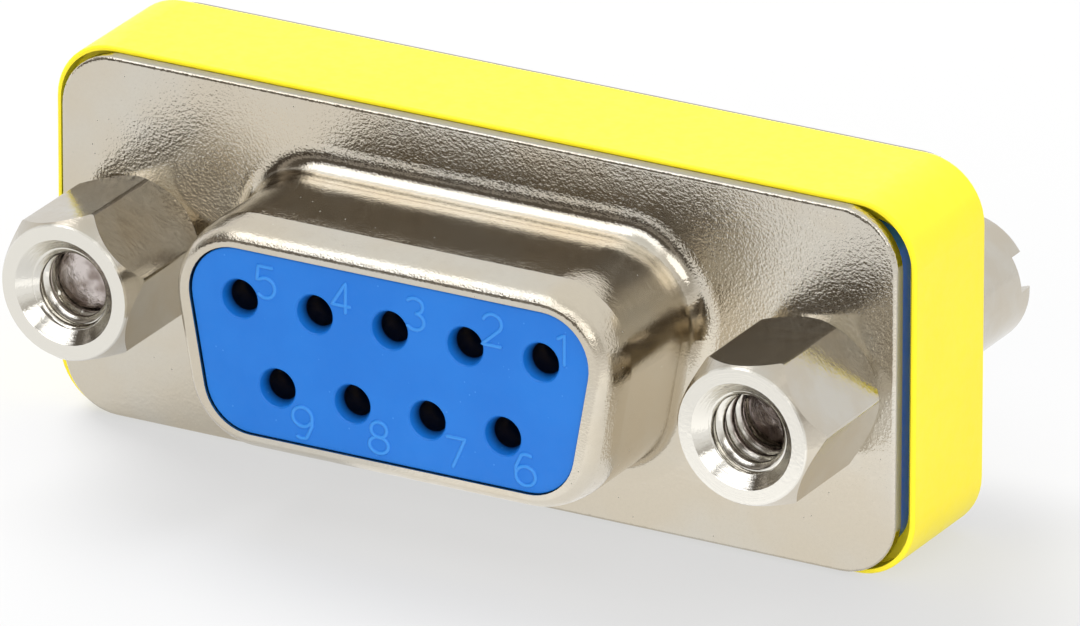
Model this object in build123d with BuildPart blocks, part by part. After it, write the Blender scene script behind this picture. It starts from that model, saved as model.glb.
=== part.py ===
from build123d import *
import math
import os

os.makedirs("parts", exist_ok=True)

# ---------------------------------------------------------------------------
# Nine-way D-sub adapter, female to female, millimetres.
# X runs along the connector, Y through it from the front face (-Y) to the
# rear face (+Y), Z is up.  The origin is the middle of the footprint, and the
# adapter stands on the flat underside of its moulded band.
# ---------------------------------------------------------------------------

# body stack
depth_over_plates = 5.75       # outer face of the front plate to that of the rear one
plate_t = 0.46                 # drawn steel sheet
band_w, band_h = 31.76, 12.94  # moulded band, outside
band_corner_r = 2.1
band_len = 4.75                # along Y, a little short of both plates
band_edge_r = 0.10
band_bore_w, band_bore_h, band_bore_r = 30.60, 11.30, 1.30
rebate_w, rebate_h, rebate_r = 31.44, 12.63, 2.00   # stepped mouth at each end of the band
rebate_depth = 0.72

# drawn plate
flange_w, flange_h, flange_r = 30.85, 12.62, 2.0
flange_edge_r = 0.14           # sheared edge, rolled over towards the outside
jack_x = 12.495                # half of 24.99 between the screw centres
plate_hole_r = 1.60

# D-shaped shell, outside; the sides lean 10 degrees
side_lean = 10.0
shell_half_w, shell_half_h, shell_corner_r = 8.165, 3.92, 2.60
shell_reach = 5.72             # from the plate's outer face to the lip
root_r = 0.90                  # bend between the plate and the shell
# rolled front edge, tightening towards the mouth: start angle, end angle, radius
lip_arcs = ((3, 16, 4.21), (16, 52, 0.845), (52, 90, 0.20))
inner_lip_r = 0.48
mouth_half_w, mouth_half_h, mouth_corner_r = 7.36, 3.21, 1.72

# insulator
boss_gap = 0.05
nose_half_w, nose_half_h, nose_corner_r = 7.32, 3.17, 1.68
nose_drop = 0.02               # the face sits a touch low in the shell's mouth
face_reach = 5.62              # from the plate's outer face to the insulator's face
boss_reach = 5.21
insulator_flange_w, insulator_flange_h, insulator_flange_r = 30.60, 11.30, 1.30
insulator_hole_r = 1.64
entry_mouth_r = 0.66           # funnel of each socket entry, at the face
entry_r = 0.54                 # at the back of the thin front wall
entry_len = 0.45               # thickness of that wall
entry_rim = 0.05
cavity_r = 0.90                # room for the sprung contact
pocket_w, pocket_h, pocket_depth = 13.6, 4.6, 1.35   # where the tails meet

# contacts
pitch = 2.77
row_z = 1.42
barrel_r, barrel_bore_r = 0.80, 0.52
barrel_front = 3.60            # from the plate's outer face
barrel_bore_len = 3.4
barrel_len = 4.58
tine_slot_w, tine_slot_len = 0.22, 2.6
collar_len = 0.7
tail_w, tail_t = 0.70, 0.25

# jack hardware, 4-40 UNC
hex_af = 4.76
hex_corner_r = 0.16
nut_len = 4.95
nut_face_r = 2.30              # flat of the end face inside the turned chamfer
nut_chamfer_rate = 0.60        # radius gained per millimetre along the axis
csk_r = 1.82
thread_major_r = 1.42
thread_pitch_r = 1.217         # engaged stretch, where stud and nut share the thread
stud_r = 1.40
stud_point = 0.16
nut_turn_left, nut_turn_right = 15.0, 6.0
stud_reach_left, stud_reach_right = 3.40, 2.50   # stud ends beyond the front plate's outer face
head_r, head_len = 2.27, 4.95
head_edge_r = 0.20
slot_w, slot_depth = 1.20, 0.72
slot_turn_left, slot_turn_right = -38.0, 18.0
head_bore_len = 4.20

half_stack = depth_over_plates / 2
zc = band_h / 2
mid = Plane(origin=(0, 0, zc), x_dir=(1, 0, 0), z_dir=(0, -1, 0))   # normal faces the front
half_turn = Axis((0, 0, zc), (1, 0, 0))


def d_outline(plane, half_w, half_h, corner_r, shift=0.0):
    """The D: wide side up, straight sides leaning in towards the narrow side."""
    lean = math.radians(side_lean)
    top = half_w + corner_r * (math.tan(lean) + 1 / math.cos(lean) - 1)
    low = top - 2 * half_h * math.tan(lean)
    with BuildSketch(plane) as outline:
        with BuildLine():
            Polyline((-top, half_h + shift), (top, half_h + shift),
                     (low, shift - half_h), (-low, shift - half_h), close=True)
        make_face()
        fillet(outline.vertices(), corner_r)
    return outline.sketch


def contact_sites():
    """Number, x and height of the nine positions: five over four."""
    sites = [(n, (3 - n) * pitch, row_z) for n in range(1, 6)]
    sites += [(n, (7.5 - n) * pitch, -row_z) for n in range(6, 10)]
    return sites


# ---------------------------------------------------------------------------
# Front plate and shell: one drawn sheet with a constant wall
# ---------------------------------------------------------------------------
outer_d = d_outline(mid.offset(half_stack), shell_half_w, shell_half_h, shell_corner_r)
inner_d = d_outline(mid.offset(half_stack - plate_t), shell_half_w - plate_t,
                    shell_half_h - plate_t, shell_corner_r - plate_t)
mouth_d = d_outline(mid.offset(half_stack), mouth_half_w, mouth_half_h, mouth_corner_r)

# what the press rolls off the front edge: a section carried round the D
lip_path = d_outline(mid.offset(half_stack + shell_reach), shell_half_w, shell_half_h,
                     shell_corner_r).face().outer_wire()
lip_plane = Plane(origin=lip_path @ 0, x_dir=(0, 1, 0), z_dir=lip_path % 0)
inward = 1 if lip_plane.y_dir.dot(Vector(0, -half_stack - shell_reach, zc) - lip_path @ 0) > 0 else -1
lip_back = sum(r * (math.sin(math.radians(a1)) - math.sin(math.radians(a0))) for a0, a1, r in lip_arcs)

with BuildPart() as lip_waste:
    with BuildSketch(lip_plane):
        with BuildLine():
            back, drop = lip_back - 0.004, 0.0     # the cut starts a hair in front, so it crosses the front plane
            first = (back, drop * inward)
            for a0, a1, r in lip_arcs:
                s0, c0 = math.sin(math.radians(a0)), math.cos(math.radians(a0))
                curve = []
                for a in (a0, (a0 + a1) / 2, a1):
                    a = math.radians(a)
                    curve.append((back - r * (math.sin(a) - s0), (drop + r * (c0 - math.cos(a))) * inward))
                ThreePointArc(*curve)
                back, drop = curve[2][0], curve[2][1] * inward
            Polyline(curve[2], (-0.5, curve[2][1]), (-0.5, -0.5 * inward), (first[0], -0.5 * inward), first)
        make_face()
    sweep(path=lip_path)

with BuildPart() as front_shell:
    with BuildSketch(mid.offset(half_stack - plate_t)):
        RectangleRounded(flange_w, flange_h, flange_r)
    extrude(amount=plate_t)
    extrude(outer_d, amount=shell_reach)
    root = front_shell.edges().filter_by(
        lambda e: abs(e.center().Y + half_stack) < 1e-3 and abs(e.center().X) < 10
        and abs(e.center().Z - zc) < 5)
    fillet(root, root_r)
    add(lip_waste.part, mode=Mode.SUBTRACT)
    rim = front_shell.edges().filter_by(
        lambda e: abs(e.center().Y + half_stack) < 1e-3
        and (abs(e.center().X) > 14.0 or abs(e.center().Z - zc) > 5.9))
    fillet(rim, flange_edge_r)
    # hollow of the shell, open at the back of the plate
    extrude(inner_d, amount=plate_t + shell_reach - plate_t, mode=Mode.SUBTRACT)
    inner_lip = front_shell.edges().filter_by(
        lambda e: abs(e.center().Y + half_stack + shell_reach - plate_t) < 1e-3)
    fillet(inner_lip, inner_lip_r)
    flare = front_shell.edges().filter_by(
        lambda e: abs(e.center().Y + half_stack - plate_t) < 1e-3 and abs(e.center().X) < 9
        and abs(e.center().Z - zc) < 4.2)
    fillet(flare, root_r + plate_t)
    # mouth pierced through the lip
    extrude(mouth_d, amount=shell_reach + 1, mode=Mode.SUBTRACT)
    # screw holes
    with BuildSketch(mid.offset(half_stack)):
        with Locations((-jack_x, 0), (jack_x, 0)):
            Circle(plate_hole_r)
    extrude(amount=plate_t * 2, both=True, mode=Mode.SUBTRACT)
front_shell.part.label = "front_shell"
export_step(front_shell.part, "parts/front_shell.step")

# The rear plate is the same pressing turned half round the long axis, so its
# wide side is down and each pin number keeps its place along X.
with BuildPart() as rear_shell:
    add(front_shell.part.rotate(half_turn, 180))
rear_shell.part.label = "rear_shell"
export_step(rear_shell.part, "parts/rear_shell.step")

# ---------------------------------------------------------------------------
# Front insulator: flange, boss inside the shell, nose in the shell's mouth
# ---------------------------------------------------------------------------
boss_d = d_outline(mid.offset(half_stack - plate_t - 0.6), shell_half_w - plate_t - boss_gap,
                   shell_half_h - plate_t - boss_gap, shell_corner_r - plate_t - boss_gap)
nose_d = d_outline(mid.offset(half_stack), nose_half_w, nose_half_h, nose_corner_r,
                   shift=-nose_drop)

with BuildPart() as front_insulator:
    with BuildSketch(mid):
        RectangleRounded(insulator_flange_w, insulator_flange_h, insulator_flange_r)
    extrude(amount=half_stack - plate_t)
    extrude(boss_d, amount=boss_reach + plate_t + 0.6)
    shoulder = front_insulator.edges().filter_by(
        lambda e: abs(e.center().Y + half_stack + boss_reach) < 1e-3)
    fillet(shoulder, 0.42)
    extrude(nose_d, amount=face_reach)
    nose_edge = front_insulator.edges().filter_by(
        lambda e: abs(e.center().Y + half_stack + face_reach) < 1e-3)
    fillet(nose_edge, 0.05)
    # clearance for the studs
    with BuildSketch(mid):
        with Locations((-jack_x, 0), (jack_x, 0)):
            Circle(insulator_hole_r)
    extrude(amount=half_stack, mode=Mode.SUBTRACT)
    # pocket where the contact tails meet
    with BuildSketch(mid):
        RectangleRounded(pocket_w, pocket_h, 0.5)
    extrude(amount=pocket_depth, mode=Mode.SUBTRACT)
    # contact cavities, then the funnel entries through the thin front wall
    with BuildSketch(mid):
        with Locations(*[(x, z) for n, x, z in contact_sites()]):
            Circle(cavity_r)
    extrude(amount=half_stack + face_reach - entry_len, mode=Mode.SUBTRACT)
    face_y = -half_stack - face_reach
    for number, cx, cz in contact_sites():
        with BuildSketch(Plane(origin=(cx, 0, zc + cz), x_dir=(1, 0, 0), z_dir=(0, 0, 1))):
            with BuildLine():
                Polyline((0, face_y - 0.1), (entry_mouth_r + entry_rim + 0.1, face_y - 0.1),
                         (entry_mouth_r, face_y + entry_rim), (entry_r, face_y + entry_len),
                         (entry_r, face_y + entry_len + 0.1), (0, face_y + entry_len + 0.1),
                         close=True)
            make_face()
        revolve(axis=Axis((cx, 0, zc + cz), (0, 1, 0)), mode=Mode.SUBTRACT)
front_insulator.part.label = "front_insulator"
export_step(front_insulator.part, "parts/front_insulator.step")

with BuildPart() as rear_insulator:
    add(front_insulator.part.rotate(half_turn, 180))
rear_insulator.part.label = "rear_insulator"
export_step(rear_insulator.part, "parts/rear_insulator.step")

# ---------------------------------------------------------------------------
# Sprung socket contacts: rolled barrel with two tines, locating collar, and a
# flat tail cranked to the middle, where front and rear tails lie on each other
# ---------------------------------------------------------------------------
barrel_start = half_stack + barrel_front        # distance in front of the middle plane
barrel_end = barrel_start - barrel_len

for number, cx, cz in contact_sites():
    side = 1 if cz > 0 else -1
    with BuildPart() as front_contact:
        with BuildSketch(mid.offset(barrel_end)):
            with Locations((cx, cz)):
                Circle(barrel_r)
        extrude(amount=barrel_len)
        with BuildSketch(mid.offset(barrel_end)):
            with Locations((cx, cz)):
                Circle(cavity_r)
        extrude(amount=collar_len)
        with BuildSketch(mid.offset(barrel_start)):
            with Locations((cx, cz)):
                Circle(barrel_bore_r)
        extrude(amount=-barrel_bore_len, mode=Mode.SUBTRACT)
        with BuildSketch(mid.offset(barrel_start)):
            with Locations((cx, cz)):
                Rectangle(tine_slot_w, 2 * barrel_r + 1)
        extrude(amount=-tine_slot_len, mode=Mode.SUBTRACT)
        # tail, drawn in the YZ plane through the contact's axis
        with BuildSketch(Plane(origin=(cx, 0, zc), x_dir=(0, -1, 0), z_dir=(-1, 0, 0))) as tail:
            with BuildLine():
                FilletPolyline((barrel_end + 0.2, cz), (1.05, cz), (0.72, side * tail_t / 2),
                               (-0.62, side * tail_t / 2), radius=0.16)
            trace(line_width=tail_t)
        extrude(tail.sketch, amount=tail_w / 2, both=True)
    front_contact.part.label = f"front_contact_{number}"
    export_step(front_contact.part, f"parts/front_contact_{number}.step")

    with BuildPart() as rear_contact:
        add(front_contact.part.rotate(half_turn, 180))
    rear_contact.part.label = f"rear_contact_{number}"
    export_step(rear_contact.part, f"parts/rear_contact_{number}.step")

# ---------------------------------------------------------------------------
# Moulded band: a sleeve over both insulator flanges, stepped at each mouth
# ---------------------------------------------------------------------------
with BuildPart() as housing_band:
    with BuildSketch(mid):
        RectangleRounded(band_w, band_h, band_corner_r)
    extrude(amount=band_len / 2, both=True)
    ends = housing_band.edges().filter_by(
        lambda e: abs(abs(e.center().Y) - band_len / 2) < 1e-3)
    fillet(ends, band_edge_r)
    with BuildSketch(mid):
        RectangleRounded(band_bore_w, band_bore_h, band_bore_r)
    extrude(amount=band_len, both=True, mode=Mode.SUBTRACT)
    for end in (1, -1):
        with BuildSketch(mid.offset(end * (band_len / 2 - rebate_depth))):
            RectangleRounded(rebate_w, rebate_h, rebate_r)
        extrude(amount=end * rebate_depth * 2, mode=Mode.SUBTRACT)
housing_band.part.label = "housing_band"
export_step(housing_band.part, "parts/housing_band.step")

# ---------------------------------------------------------------------------
# Front jack nuts: hexagon, turned chamfer at both ends, tapped right through.
# The free thread is drawn at its major radius, the stretch that holds the stud
# at the pitch radius.
# ---------------------------------------------------------------------------
for name, cx, turn, stud_reach in (("front_jack_nut_left", -jack_x, nut_turn_left, stud_reach_left),
                                   ("front_jack_nut_right", jack_x, nut_turn_right, stud_reach_right)):
    chamfer_len = (hex_af / math.sqrt(3) + 0.2 - nut_face_r) / nut_chamfer_rate
    with BuildPart() as front_nut:
        with BuildSketch(mid.offset(half_stack)) as hexagon:
            with Locations((cx, 0)):
                RegularPolygon(hex_af / 2, 6, major_radius=False, rotation=turn)
            fillet(hexagon.vertices(), hex_corner_r)
        extrude(amount=nut_len)
        # both ends turned back to a cone
        with BuildSketch(Plane(origin=(cx, 0, zc), x_dir=(1, 0, 0), z_dir=(0, 0, 1))):
            with BuildLine():
                rear_y = -half_stack
                front_y = -half_stack - nut_len
                wide = nut_face_r + chamfer_len * nut_chamfer_rate
                Polyline((0, rear_y), (nut_face_r, rear_y), (wide, rear_y - chamfer_len),
                         (wide, front_y + chamfer_len), (nut_face_r, front_y), (0, front_y),
                         close=True)
            make_face()
        revolve(axis=Axis((cx, 0, zc), (0, 1, 0)), mode=Mode.INTERSECT)
        # tapped bore with a countersunk mouth
        with BuildSketch(Plane(origin=(cx, 0, zc), x_dir=(1, 0, 0), z_dir=(0, 0, 1))):
            with BuildLine():
                stud_end = -half_stack - stud_reach
                Polyline((0, rear_y + 1), (thread_pitch_r, rear_y + 1), (thread_pitch_r, stud_end),
                         (thread_major_r, stud_end),
                         (thread_major_r, front_y + csk_r - thread_major_r), (csk_r, front_y),
                         (csk_r + 0.2, front_y - 0.2), (0, front_y - 0.2), close=True)
            make_face()
        revolve(axis=Axis((cx, 0, zc), (0, 1, 0)), mode=Mode.SUBTRACT)
    front_nut.part.label = name
    export_step(front_nut.part, f"parts/{name}.step")

# ---------------------------------------------------------------------------
# Rear jack screws: round slotted head tapped from the end, and a long stud
# that runs through both plates into the front nut
# ---------------------------------------------------------------------------
for name, cx, turn, stud_reach in (("rear_jack_screw_left", -jack_x, slot_turn_left, stud_reach_left),
                                   ("rear_jack_screw_right", jack_x, slot_turn_right, stud_reach_right)):
    with BuildPart() as rear_screw:
        with BuildSketch(mid.offset(-half_stack)):
            with Locations((cx, 0)):
                Circle(head_r)
        extrude(amount=-head_len)
        head_end = rear_screw.edges().filter_by(
            lambda e: abs(e.center().Y - half_stack - head_len) < 1e-3)
        fillet(head_end, head_edge_r)
        with BuildSketch(mid.offset(-half_stack)):
            with Locations((cx, 0)):
                Circle(stud_r)
        extrude(amount=depth_over_plates)
        with BuildSketch(mid.offset(half_stack)):
            with Locations((cx, 0)):
                Circle(thread_pitch_r)
        extrude(amount=stud_reach)
        point = rear_screw.edges().filter_by(
            lambda e: abs(e.center().Y + half_stack + stud_reach) < 1e-3)
        chamfer(point, stud_point)
        # tapped bore from the rear end
        with BuildSketch(mid.offset(-half_stack - head_len)):
            with Locations((cx, 0)):
                Circle(thread_major_r)
        extrude(amount=head_bore_len, mode=Mode.SUBTRACT)
        # screwdriver slot
        with BuildSketch(mid.offset(-half_stack - head_len)):
            with Locations((cx, 0)):
                Rectangle(6, slot_w, rotation=turn)
        extrude(amount=slot_depth, mode=Mode.SUBTRACT)
    rear_screw.part.label = name
    export_step(rear_screw.part, f"parts/{name}.step")
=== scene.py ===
import bpy, bmesh, math
from mathutils import Matrix, Vector


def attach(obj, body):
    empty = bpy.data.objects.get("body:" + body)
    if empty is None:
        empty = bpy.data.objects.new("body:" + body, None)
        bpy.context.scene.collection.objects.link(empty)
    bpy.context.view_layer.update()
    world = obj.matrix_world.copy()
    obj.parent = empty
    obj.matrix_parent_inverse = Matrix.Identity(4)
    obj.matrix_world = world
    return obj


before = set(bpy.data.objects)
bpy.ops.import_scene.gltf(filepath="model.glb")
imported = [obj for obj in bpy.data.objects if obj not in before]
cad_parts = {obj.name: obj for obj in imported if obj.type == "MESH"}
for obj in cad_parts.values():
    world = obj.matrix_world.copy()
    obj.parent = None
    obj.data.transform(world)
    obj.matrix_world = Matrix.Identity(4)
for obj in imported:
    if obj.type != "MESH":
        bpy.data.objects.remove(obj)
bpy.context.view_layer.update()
MM = 0.001

# ---------------------------------------------------------------------------
# dimensions repeated from the part's source, millimetres
# ---------------------------------------------------------------------------
ZC = 6.47                 # height of the long axis
PLATE_Y = -2.875          # outer face of the front plate
JACK_X = 12.495
FACE_Y = -8.495           # face of the front insulator
NUT_LEN = 4.95
CSK_R = 1.82
MAJOR_R = 1.42
CREST_R = 1.13
THREAD_PITCH = 0.635
STUD_REACH = {"left": 3.40, "right": 2.50}
HEAD_LEN = 4.95
HEAD_BORE = 4.20
SLOT_DEPTH = 0.72

# ---------------------------------------------------------------------------
# camera
# ---------------------------------------------------------------------------
az, el, roll = (math.radians(v) for v in (28.8848, 22.2946, 0.0645))
back = Vector((math.sin(az) * math.cos(el), -math.cos(az) * math.cos(el), math.sin(el)))
right = Vector((math.cos(az), math.sin(az), 0.0))
up = back.cross(right)
right, up = (right * math.cos(roll) + up * math.sin(roll), up * math.cos(roll) - right * math.sin(roll))
place = 2.12628 * right + 0.01404 * up + 647.129 * back + Vector((0.0, PLATE_Y, ZC))
cam_data = bpy.data.cameras.new("camera")
cam_data.sensor_width = 36.0
cam_data.lens = 36.0 * 20000.0 / 1080.0
cam_data.clip_start = 0.05
cam_data.clip_end = 20.0
cam = bpy.data.objects.new("camera", cam_data)
m = Matrix((right, up, back)).transposed().to_4x4()
m.translation = place * MM
cam.matrix_world = m
bpy.context.scene.collection.objects.link(cam)
bpy.context.scene.camera = cam


# ---------------------------------------------------------------------------
# node helpers
# ---------------------------------------------------------------------------
class Tree:
    def __init__(self, tree):
        self.t = tree
        self.n = tree.nodes
        self.l = tree.links

    def new(self, kind, **values):
        node = self.n.new(kind)
        for k, v in values.items():
            setattr(node, k, v)
        return node

    def put(self, socket, value):
        if hasattr(value, "is_output"):
            self.l.new(value, socket)
        else:
            socket.default_value = value

    def math(self, op, a, b=None, c=None, clamp=False):
        node = self.new("ShaderNodeMath", operation=op, use_clamp=clamp)
        self.put(node.inputs[0], a)
        if b is not None:
            self.put(node.inputs[1], b)
        if c is not None:
            self.put(node.inputs[2], c)
        return node.outputs[0]

    def vmath(self, op, a, b=None, out=0):
        node = self.new("ShaderNodeVectorMath", operation=op)
        self.put(node.inputs[0], a)
        if b is not None:
            self.put(node.inputs[1], b)
        return node.outputs[out]

    def span(self, value, lo, hi, a=0.0, b=1.0, smooth=True):
        node = self.new("ShaderNodeMapRange", interpolation_type="SMOOTHSTEP" if smooth else "LINEAR")
        self.put(node.inputs["Value"], value)
        node.inputs["From Min"].default_value = lo
        node.inputs["From Max"].default_value = hi
        node.inputs["To Min"].default_value = a
        node.inputs["To Max"].default_value = b
        return node.outputs["Result"]

    def mix(self, f, a, b):
        node = self.new("ShaderNodeMix", data_type="RGBA")
        self.put(node.inputs["Factor"], f)
        self.put(node.inputs[6], a)
        self.put(node.inputs[7], b)
        return node.outputs[2]

    def noise(self, coords, scale, detail=2.0, rough=0.5, distortion=0.0):
        node = self.new("ShaderNodeTexNoise")
        self.put(node.inputs["Vector"], coords)
        node.inputs["Scale"].default_value = scale
        node.inputs["Detail"].default_value = detail
        node.inputs["Roughness"].default_value = rough
        node.inputs["Distortion"].default_value = distortion
        return node.outputs["Fac"]

    def cells(self, coords, scale, feature="F1"):
        node = self.new("ShaderNodeTexVoronoi", feature=feature)
        self.put(node.inputs["Vector"], coords)
        node.inputs["Scale"].default_value = scale
        return node.outputs["Distance"]

    def bump(self, height, distance, strength=1.0, normal=None):
        node = self.new("ShaderNodeBump")
        node.inputs["Strength"].default_value = strength
        node.inputs["Distance"].default_value = distance
        self.put(node.inputs["Height"], height)
        if normal is not None:
            self.put(node.inputs["Normal"], normal)
        return node.outputs["Normal"]


def material(name):
    mat = bpy.data.materials.new(name)
    mat.use_nodes = True
    t = Tree(mat.node_tree)
    shader = t.n["Principled BSDF"]
    coords = t.new("ShaderNodeTexCoord").outputs["Object"]
    mm = t.vmath("MULTIPLY", coords, (1000.0, 1000.0, 1000.0))   # millimetres in the part's frame
    return mat, t, shader, mm


def grey(v):
    return (v[0], v[1], v[2], 1.0)


# ---------------------------------------------------------------------------
# materials
# ---------------------------------------------------------------------------
def plated_steel():
    """Satin nickel on drawn steel: fine orange-peel grain, small dust specks and faint handling marks."""
    mat, t, sh, mm = material("satin_nickel_steel")
    cloud = t.noise(mm, 0.22, 3.0, 0.55)
    tone = t.mix(t.span(cloud, 0.35, 0.65), grey((0.625, 0.590, 0.515)), grey((0.620, 0.560, 0.455)))
    fine = t.noise(mm, 9.0, 3.0, 0.6)
    tone = t.mix(t.span(fine, 0.30, 0.75, 0.0, 0.10), tone, grey((0.50, 0.45, 0.38)))
    sh.inputs["Metallic"].default_value = 1.0
    rub = t.noise(mm, 1.6, 4.0, 0.6)
    sep = t.new("ShaderNodeSeparateXYZ")
    t.put(sep.inputs[0], mm)
    # sheared edges of the plate are matt
    edge = t.math("MAXIMUM", t.span(t.math("ABSOLUTE", sep.outputs[0]), 15.395, 15.415),
                  t.span(t.math("ABSOLUTE", t.math("SUBTRACT", sep.outputs[2], ZC)), 6.285, 6.305))
    dust = t.span(t.cells(mm, 1.7), 0.040, 0.062, 1.0, 0.0)
    tone = t.mix(t.math("MAXIMUM", edge, t.math("MULTIPLY", dust, 0.7)), tone, grey((0.52, 0.50, 0.43)))
    t.put(sh.inputs["Base Color"], tone)
    matt = t.math("MULTIPLY", t.math("MAXIMUM", edge, dust), 0.55)
    # the rolled lip is scuffed by handling
    lip = t.span(t.math("ABSOLUTE", sep.outputs[1]), 6.9, 7.9)
    scuff = t.math("MULTIPLY", lip, t.span(t.noise(mm, 2.6, 3.0, 0.6), 0.32, 0.66, 0.12, 0.27))
    t.put(sh.inputs["Roughness"], t.math("MAXIMUM", t.math("MAXIMUM", t.span(rub, 0.3, 0.7, 0.075, 0.115), scuff), matt))
    # the flat plate is grainy, the drawn shell was stretched smoother
    flat = t.span(t.math("ABSOLUTE", sep.outputs[1]), 2.885, 3.05, 1.0, 0.32)
    flat = t.math("MAXIMUM", flat, t.math("MULTIPLY", lip, 0.7))
    grain = t.math("MULTIPLY", t.noise(mm, 12.0, 2.0, 0.5), flat)
    wave = t.noise(mm, 1.1, 2.0, 0.5)
    nrm = t.bump(grain, 0.0000165)
    nrm = t.bump(wave, 0.0000110, 1.0, nrm)
    t.put(sh.inputs["Normal"], nrm)
    return mat


def plated_brass():
    """Bright nickel on turned brass: lathe rings round each jack, drawn lines along the flats."""
    mat, t, sh, mm = material("bright_nickel_brass")
    sep = t.new("ShaderNodeSeparateXYZ")
    t.put(sep.inputs[0], mm)
    dx = t.math("SUBTRACT", t.math("ABSOLUTE", sep.outputs[0]), JACK_X)
    dz = t.math("SUBTRACT", sep.outputs[2], ZC)
    r = t.math("SQRT", t.math("ADD", t.math("MULTIPLY", dx, dx), t.math("MULTIPLY", dz, dz)))
    cloud = t.noise(mm, 0.5, 3.0, 0.55)
    tone = t.mix(t.span(cloud, 0.35, 0.65), grey((0.59, 0.56, 0.50)), grey((0.565, 0.515, 0.43)))
    # turned ends and bores are brighter than the drawn flats, cut stud ends are dull and mottled
    depth = t.math("ABSOLUTE", sep.outputs[1])
    turned = t.math("MAXIMUM", t.span(depth, 7.72, 7.80), t.span(r, 1.85, 1.95, 1.0, 0.0))
    tone = t.mix(turned, tone, grey((0.775, 0.75, 0.685)))
    stain = t.mix(t.span(t.noise(mm, 1.5, 2.0, 0.5), 0.35, 0.65), grey((0.26, 0.21, 0.185)), grey((0.60, 0.545, 0.52)))
    cut = t.math("MULTIPLY", t.span(r, 1.16, 1.24, 1.0, 0.0), t.span(depth, 6.40, 6.50, 1.0, 0.0))
    tone = t.mix(cut, tone, stain)
    t.put(sh.inputs["Base Color"], tone)
    sh.inputs["Metallic"].default_value = 1.0
    # outside satin, bore and countersink bright
    inside = t.span(r, 1.76, 1.94)
    rub = t.noise(mm, 2.2, 4.0, 0.6)
    satin = t.span(rub, 0.3, 0.7, 0.13, 0.20)
    t.put(sh.inputs["Roughness"], t.math("MULTIPLY_ADD", t.math("SUBTRACT", satin, 0.08), inside, 0.08))
    rings = t.noise(mm, 1.0, 0.0)
    ringed = t.new("ShaderNodeTexNoise", noise_dimensions="1D")
    t.put(ringed.inputs["W"], t.math("ADD", t.math("MULTIPLY", r, 9.0), t.math("MULTIPLY", rings, 0.4)))
    ringed.inputs["Detail"].default_value = 2.0
    stretched = t.vmath("MULTIPLY", mm, (1.0, 0.06, 1.0))
    drawn = t.noise(stretched, 9.0, 2.0, 0.6)
    grain = t.noise(mm, 7.0, 2.0, 0.55)
    dent = t.math("MULTIPLY", t.noise(mm, 4.5, 2.0, 0.5), cut)
    nrm = t.bump(ringed.outputs["Fac"], 0.0000030)
    nrm = t.bump(drawn, 0.0000022, 1.0, nrm)
    nrm = t.bump(grain, 0.0000055, 1.0, nrm)
    nrm = t.bump(dent, 0.0000200, 1.0, nrm)
    t.put(sh.inputs["Normal"], nrm)
    return mat


def contact_brass():
    """Gold flash over brass, drawn smooth."""
    mat, t, sh, mm = material("gold_flashed_brass")
    cloud = t.noise(mm, 1.2, 3.0, 0.55)
    t.put(sh.inputs["Base Color"], t.mix(t.span(cloud, 0.35, 0.65), grey((0.86, 0.60, 0.24)), grey((0.78, 0.52, 0.22))))
    sh.inputs["Metallic"].default_value = 1.0
    rub = t.noise(mm, 4.0, 3.0, 0.6)
    t.put(sh.inputs["Roughness"], t.span(rub, 0.3, 0.7, 0.20, 0.34))
    drawn = t.noise(t.vmath("MULTIPLY", mm, (1.0, 0.08, 1.0)), 14.0, 2.0, 0.6)
    t.put(sh.inputs["Normal"], t.bump(drawn, 0.000002))
    return mat


def blue_plastic():
    """Glass-filled moulded insulator: even blue, soft gloss, faint specks and flow, with painted shade in the bores and
    painted highlights on the numbers and the flange edge.
    """
    mat, t, sh, mm = material("moulded_blue")
    cloud = t.noise(mm, 0.35, 3.0, 0.5)
    tone = t.mix(t.span(cloud, 0.35, 0.65), grey((0.003, 0.148, 0.570)), grey((0.005, 0.162, 0.598)))
    speck = t.span(t.cells(mm, 1.9), 0.035, 0.075, 1.0, 0.0)
    tone = t.mix(t.math("MULTIPLY", speck, 0.35), tone, grey((0.10, 0.36, 0.80)))
    sep = t.new("ShaderNodeSeparateXYZ")
    t.put(sep.inputs[0], mm)
    depth = t.math("ABSOLUTE", sep.outputs[1])
    # the tops of the raised numbers are painted paler, a painted highlight standing in for the light their rounded tops
    # catch
    raised = t.span(depth, -FACE_Y + 0.008, -FACE_Y + 0.040)
    tone = t.mix(raised, tone, grey((0.030, 0.235, 0.680)))
    # the bores behind the face are painted near-black, painted shade where little light gets into the holes
    bore = t.math("MULTIPLY", t.span(depth, -FACE_Y - 0.60, -FACE_Y - 0.06, 1.0, 0.0), t.math("GREATER_THAN", depth, 3.0))
    tone = t.mix(bore, tone, grey((0.001, 0.010, 0.040)))
    # the flange edge is painted a lighter, stronger blue, a painted highlight lifting it in the shaded gap between
    # plate and band
    tone = t.mix(t.span(t.math("ABSOLUTE", sep.outputs[0]), 15.10, 15.20), tone, grey((0.03, 0.16, 0.90)))
    t.put(sh.inputs["Base Color"], tone)
    rub = t.noise(mm, 3.0, 3.0, 0.6)
    t.put(sh.inputs["Roughness"], t.span(rub, 0.3, 0.7, 0.40, 0.52))
    sh.inputs["IOR"].default_value = 1.45
    grain = t.noise(mm, 7.0, 3.0, 0.6)
    flow = t.noise(mm, 0.9, 2.0, 0.5)
    nrm = t.bump(grain, 0.0000040)
    nrm = t.bump(flow, 0.0000120, 1.0, nrm)
    t.put(sh.inputs["Normal"], nrm)
    return mat


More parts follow.
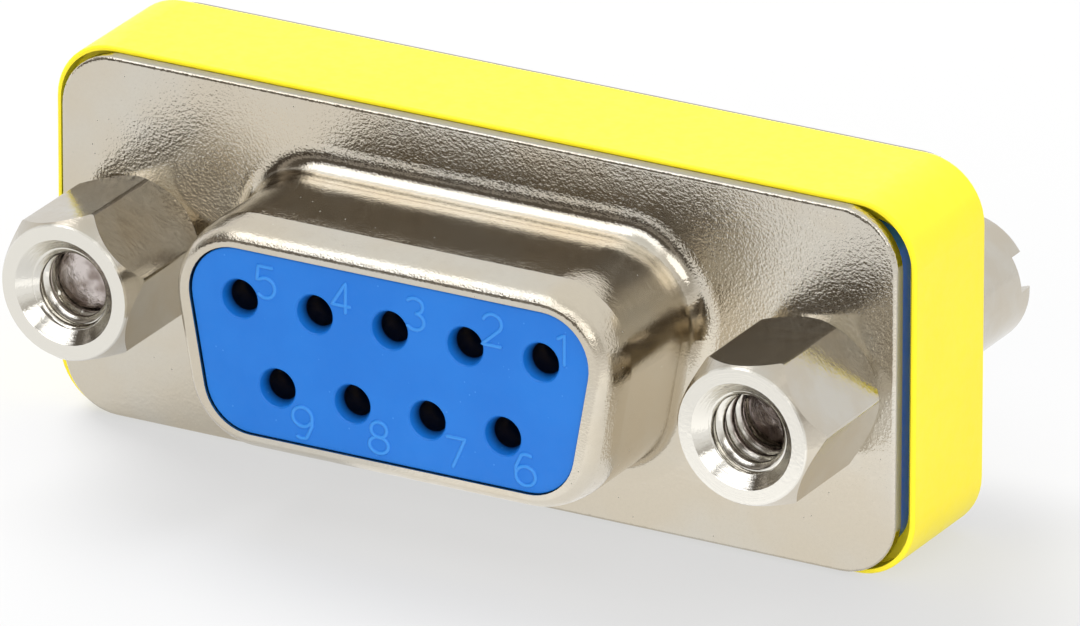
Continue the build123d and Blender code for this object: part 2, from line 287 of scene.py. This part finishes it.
def yellow_plastic():
    """Injection-moulded band: bright yellow, soft gloss, fine mould texture."""
    mat, t, sh, mm = material("moulded_yellow")
    cloud = t.noise(mm, 0.25, 3.0, 0.5)
    tone = t.mix(t.span(cloud, 0.35, 0.65), grey((0.98, 0.82, 0.024)), grey((0.96, 0.80, 0.020)))
    t.put(sh.inputs["Base Color"], tone)
    rub = t.noise(mm, 2.4, 3.0, 0.6)
    t.put(sh.inputs["Roughness"], t.span(rub, 0.3, 0.7, 0.36, 0.46))
    sh.inputs["IOR"].default_value = 1.49
    sh.inputs["Specular IOR Level"].default_value = 0.35
    grain = t.noise(mm, 6.0, 3.0, 0.6)
    flow = t.noise(mm, 0.6, 2.0, 0.5)
    nrm = t.bump(grain, 0.0000040)
    nrm = t.bump(flow, 0.0000200, 1.0, nrm)
    t.put(sh.inputs["Normal"], nrm)
    return mat


MATS = {
    "plated_steel": plated_steel(),
    "plated_brass": plated_brass(),
    "contact_brass": contact_brass(),
    "blue_plastic": blue_plastic(),
    "yellow_plastic": yellow_plastic(),
}


def finish_of(node):
    if node.endswith("shell"):
        return "plated_steel"
    if "jack" in node:
        return "plated_brass"
    if "contact" in node:
        return "contact_brass"
    if "insulator" in node:
        return "blue_plastic"
    return "yellow_plastic"


for name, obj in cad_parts.items():
    obj.data.materials.clear()
    obj.data.materials.append(MATS[finish_of(name)])


# ---------------------------------------------------------------------------
# mesh helpers
# ---------------------------------------------------------------------------
def piece(name, verts, faces, slot, smooth=True):
    mesh = bpy.data.meshes.new(name)
    mesh.from_pydata([tuple(c * MM for c in v) for v in verts], [], faces)
    bm = bmesh.new()
    bm.from_mesh(mesh)
    bmesh.ops.remove_doubles(bm, verts=bm.verts, dist=1e-7)
    bmesh.ops.dissolve_degenerate(bm, edges=bm.edges, dist=1e-7)
    bmesh.ops.recalc_face_normals(bm, faces=bm.faces)
    bm.to_mesh(mesh)
    bm.free()
    for p in mesh.polygons:
        p.use_smooth = smooth
    obj = bpy.data.objects.new(name, mesh)
    bpy.context.scene.collection.objects.link(obj)
    mesh.materials.append(MATS[slot])
    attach(obj, "root")
    return obj


def thread(name, cx, face_y, out, d0, d1, mouth_r, phase):
    """Right-hand internal thread ridge.  face_y is the end face the bore opens at, out is -1 for a
    bore that opens towards -Y and 1 towards +Y; the ridge runs from depth d0 to d1."""
    steps = 72
    profile = ((-0.285, 1.45), (-0.19, 1.29), (-0.105, 1.155), (-0.05, 1.13),
               (0.05, 1.13), (0.105, 1.155), (0.19, 1.29), (0.285, 1.45))
    start, stop = d0 - 0.3, d1 + 0.3
    count = int((stop - start) / THREAD_PITCH * steps)
    verts, faces, k = [], [], len(profile)
    for i in range(count + 1):
        turn = 2 * math.pi * i / steps
        depth = start + THREAD_PITCH * i / steps
        # right-hand screw about +Y when the angle grows the way the depth does
        ang = phase + (turn if out < 0 else -turn)
        for a, r in profile:
            d = min(max(depth + a, d0), d1)
            wall = max(MAJOR_R, mouth_r - d)
            rr = max(r, mouth_r - d) if mouth_r - d < MAJOR_R else wall + 0.02
            rr = min(rr, wall + 0.02)
            if d >= d1 - 1e-9 or d <= d0 + 1e-9:
                rr = max(rr, r)
            verts.append((cx + rr * math.sin(ang), face_y - out * d, ZC + rr * math.cos(ang)))
    for i in range(count):
        for j in range(k - 1):
            a = i * k + j
            faces.append((a, a + 1, a + k + 1, a + k))
        faces.append((i * k + k - 1, i * k, i * k + k, i * k + 2 * k - 1))
    faces.append(tuple(range(k)))
    faces.append(tuple(reversed(range(count * k, count * k + k))))
    return piece(name, verts, faces, "plated_brass")


for side, cx in (("left", -JACK_X), ("right", JACK_X)):
    free = NUT_LEN - STUD_REACH[side]
    thread(f"front_jack_thread_{side}", cx, PLATE_Y - NUT_LEN, -1, CSK_R - MAJOR_R + 0.01, free - 0.01, CSK_R,
           0.6 if side == "left" else 2.4)
    thread(f"rear_jack_thread_{side}", cx, -PLATE_Y + HEAD_LEN, 1, SLOT_DEPTH + 0.01, HEAD_BORE - 0.25, MAJOR_R + 0.3,
           1.0 if side == "left" else 3.0)


# ---------------------------------------------------------------------------
# raised pin numbers: round-topped strokes on the insulator faces
# ---------------------------------------------------------------------------
def arc(cx, cy, rx, ry, a0, a1, n=14):
    return [(cx + rx * math.cos(math.radians(a0 + (a1 - a0) * i / n)),
             cy + ry * math.sin(math.radians(a0 + (a1 - a0) * i / n))) for i in range(n + 1)]


# drawn in a box 1 wide and 1.5 high, centred on (0, 0)
DIGITS = {
    1: [[(-0.32, 0.50), (0.0, 0.72), (0.06, 0.75), (0.06, -0.75)]],
    2: [arc(0.0, 0.31, 0.44, 0.44, 170, -38) + [(-0.46, -0.75), (0.48, -0.75)]],
    3: [arc(-0.02, 0.38, 0.40, 0.37, 155, -90), arc(0.0, -0.36, 0.44, 0.40, 90, -155)],
    4: [[(0.18, -0.75), (0.18, 0.75), (-0.46, -0.34), (0.48, -0.34)]],
    5: [[(0.40, 0.75), (-0.34, 0.75), (-0.40, 0.10)] + arc(0.0, -0.26, 0.45, 0.48, 128, -148)],
    6: [arc(0.02, 0.27, 0.46, 0.48, 50, 120) + [(-0.46, 0.10), (-0.46, -0.28)]
        + arc(0.0, -0.29, 0.46, 0.46, 180, 530, 26)],
    7: [[(-0.46, 0.75), (0.48, 0.75), (-0.12, -0.75)]],
    8: [arc(0.0, 0.38, 0.37, 0.37, -90, 270, 24), arc(0.0, -0.36, 0.45, 0.39, 90, 450, 26)],
    9: [arc(-0.02, -0.27, 0.46, 0.48, 230, 300) + [(0.46, -0.10), (0.46, 0.28)]
        + arc(0.0, 0.29, 0.46, 0.46, 0, 350, 26)],
}
# centre of each number on the face: x, height
PLACES = {5: (-4.56, 8.65), 4: (-1.74, 8.66), 3: (0.95, 8.66), 2: (3.79, 8.67), 1: (6.38, 8.45),
          9: (-3.21, 4.04), 8: (-0.38, 4.09), 7: (2.42, 4.12), 6: (5.02, 4.06)}
DIGIT_W, DIGIT_H = 0.78, 1.08
STROKE, RELIEF = 0.080, 0.050


# a rounded ridge that runs on a little below the face
ACROSS = (1.30, 1.12, 0.96, 0.78, 0.52, 0.26, 0.0, -0.26, -0.52, -0.78, -0.96, -1.12, -1.30)


def resample(path, step):
    out = [path[0]]
    for a, b in zip(path, path[1:]):
        length = math.dist(a, b)
        n = max(1, math.ceil(length / step))
        out += [(a[0] + (b[0] - a[0]) * i / n, a[1] + (b[1] - a[1]) * i / n) for i in range(1, n + 1)]
    return out


def number(digit, place, flip):
    verts, faces = [], []
    for line in DIGITS[digit]:
        path = resample([(x * DIGIT_W, y / 1.5 * DIGIT_H) for x, y in line], 0.04)
        closed = math.dist(path[0], path[-1]) < 1e-6
        if closed:
            path = path[:-1]
        n = len(path)
        along = [0.0]
        for a, b in zip(path, path[1:]):
            along.append(along[-1] + math.dist(a, b))
        first = len(verts)
        sides = len(ACROSS)
        for i, (x, y) in enumerate(path):
            p = path[(i - 1) % n] if closed or i else path[0]
            q = path[(i + 1) % n] if closed or i < n - 1 else path[-1]
            tx, ty = q[0] - p[0], q[1] - p[1]
            size = math.hypot(tx, ty) or 1.0
            nx, ny = -ty / size, tx / size
            fade = 1.0
            if not closed:
                edge = min(along[i], along[-1] - along[i])
                if edge < STROKE:
                    fade = math.sqrt(max(0.02, 1 - (1 - edge / STROKE) ** 2))
            for j in range(sides):
                off = STROKE * fade * ACROSS[j]
                high = RELIEF * fade * (1 - ACROSS[j] ** 2)
                verts.append((x + nx * off, y + ny * off, high))
        rings = n if closed else n - 1
        for i in range(rings):
            a0, b0 = first + i * sides, first + ((i + 1) % n) * sides
            for j in range(sides - 1):
                faces.append((a0 + j, a0 + j + 1, b0 + j + 1, b0 + j))
            faces.append((a0 + sides - 1, a0, b0, b0 + sides - 1))
        if not closed:
            faces.append(tuple(range(first, first + sides)))
            faces.append(tuple(reversed(range(first + (n - 1) * sides, first + n * sides))))
    px, pz = place
    world = []
    for x, y, high in verts:
        v = (px + x, FACE_Y - high, pz + y)
        if flip:       # the rear connector is the front one turned half round the long axis
            v = (v[0], -v[1], 2 * ZC - v[2])
        world.append(v)
    name = ("rear" if flip else "front") + f"_pin_number_{digit}"
    return piece(name, world, faces, "blue_plastic")


for digit, place in PLACES.items():
    for flip in (False, True):
        number(digit, place, flip)

# ---------------------------------------------------------------------------
# floor, light
# ---------------------------------------------------------------------------
bpy.ops.mesh.primitive_plane_add(size=6.0, location=(0, 0, 0))
floor = bpy.context.object
floor.name = "floor"
mat = bpy.data.materials.new("pale_floor")
mat.use_nodes = True
sh = mat.node_tree.nodes["Principled BSDF"]
# a softly back-lit white table: part of its light is its own, so shadows on it stay pale
sh.inputs["Base Color"].default_value = (0.15, 0.15, 0.15, 1)
sh.inputs["Roughness"].default_value = 0.9
sh.inputs["Specular IOR Level"].default_value = 0.0
sh.inputs["Emission Color"].default_value = (1.0, 1.0, 1.0, 1)
sh.inputs["Emission Strength"].default_value = 0.605
floor.data.materials.append(mat)

world = bpy.data.worlds.new("studio")
bpy.context.scene.world = world
world.use_nodes = True
w = Tree(world.node_tree)
bg = w.n["Background"]
direction = w.new("ShaderNodeTexCoord").outputs["Generated"]
sep = w.new("ShaderNodeSeparateXYZ")
w.put(sep.inputs[0], direction)

def bands(stops):
    """Colour by height of the direction above the horizon (its sine)."""
    ramp = w.new("ShaderNodeValToRGB")
    w.put(ramp.inputs[0], w.span(sep.outputs[2], -0.2, 1.0, 0.0, 1.0, smooth=False))
    elements = ramp.color_ramp.elements
    elements[0].position, elements[0].color = 0.0, grey(stops[0][1])
    elements[1].position, elements[1].color = 1.0, grey(stops[-1][1])
    for z, rgb in stops[1:-1]:
        elements.new((z + 0.2) / 1.2).color = grey(rgb)
    return ramp.outputs[0]


def softbox(colour, towards, inner, outer, rgb):
    towards = Vector(towards).normalized()
    facing = w.vmath("DOT_PRODUCT", direction, tuple(towards), out=1)
    f = w.span(facing, math.cos(math.radians(outer)), math.cos(math.radians(inner)))
    return w.mix(f, colour, grey(rgb))


# dark room in front on the left, paler on the right, white sweep behind, softboxes overhead
room = bands([(-0.2, (0.90, 0.90, 0.90)), (0.07, (0.90, 0.89, 0.87)), (0.13, (0.085, 0.072, 0.060)),
              (0.31, (0.060, 0.050, 0.042)), (0.38, (0.38, 0.35, 0.32)), (0.44, (0.38, 0.35, 0.32)),
              (0.52, (0.115, 0.10, 0.085)), (0.70, (0.115, 0.10, 0.085)), (0.80, (1.9, 1.9, 1.92)),
              (0.90, (1.9, 1.9, 1.92)), (0.95, (0.9, 0.9, 0.88)), (1.0, (0.9, 0.9, 0.88))])
pale = bands([(-0.2, (0.90, 0.90, 0.90)), (0.10, (0.85, 0.84, 0.82)), (0.30, (0.50, 0.48, 0.45)),
              (0.60, (0.80, 0.79, 0.77)), (1.0, (0.90, 0.89, 0.87))])
room = w.mix(w.span(sep.outputs[0], 0.22, 0.45), room, pale)
sweep = bands([(-0.2, (0.95, 0.95, 0.95)), (0.40, (0.95, 0.95, 0.95)), (0.75, (1.0, 1.0, 0.99)), (1.0, (1.0, 1.0, 0.98))])
colour = w.mix(w.span(sep.outputs[1], -0.10, 0.25), room, sweep)
colour = softbox(colour, (0.63, -0.49, 0.60), 14, 17, (2.0, 2.0, 2.0))
colour = softbox(colour, (-0.42, -0.20, 0.885), 6, 16, (2.4, 2.4, 2.45))
w.put(bg.inputs["Color"], colour)
bg.inputs["Strength"].default_value = 1.0


def lamp(name, at, to, size, power, colour=(1, 1, 1), glossy=False):
    data = bpy.data.lights.new(name, "AREA")
    data.shape = "RECTANGLE"
    data.size, data.size_y = size
    data.energy = power
    data.color = colour
    obj = bpy.data.objects.new(name, data)
    obj.location = at
    obj.rotation_euler = (Vector(to) - Vector(at)).to_track_quat("-Z", "Y").to_euler()
    obj.visible_glossy = glossy
    obj.visible_camera = False
    bpy.context.scene.collection.objects.link(obj)
    return obj


lamp("back_light", (-0.50, 0.36, 0.62), (0, 0, 0), (0.6, 0.6), 18.0)
lamp("right_light", (0.80, -0.10, 0.30), (0, 0, 0), (0.6, 0.5), 0.6)
lamp("front_light", (0.10, -0.85, 0.35), (0, 0, 0), (0.9, 0.5), 4.2)
# a lit card lying in front, seen in the plating only
lamp("card_light", (0.0175, -0.0115, 0.0001), (0.0175, -0.0115, 1.0), (0.041, 0.017), 0.00072, glossy=True)

scene = bpy.context.scene
scene.view_settings.view_transform = "Standard"
scene.view_settings.look = "None"
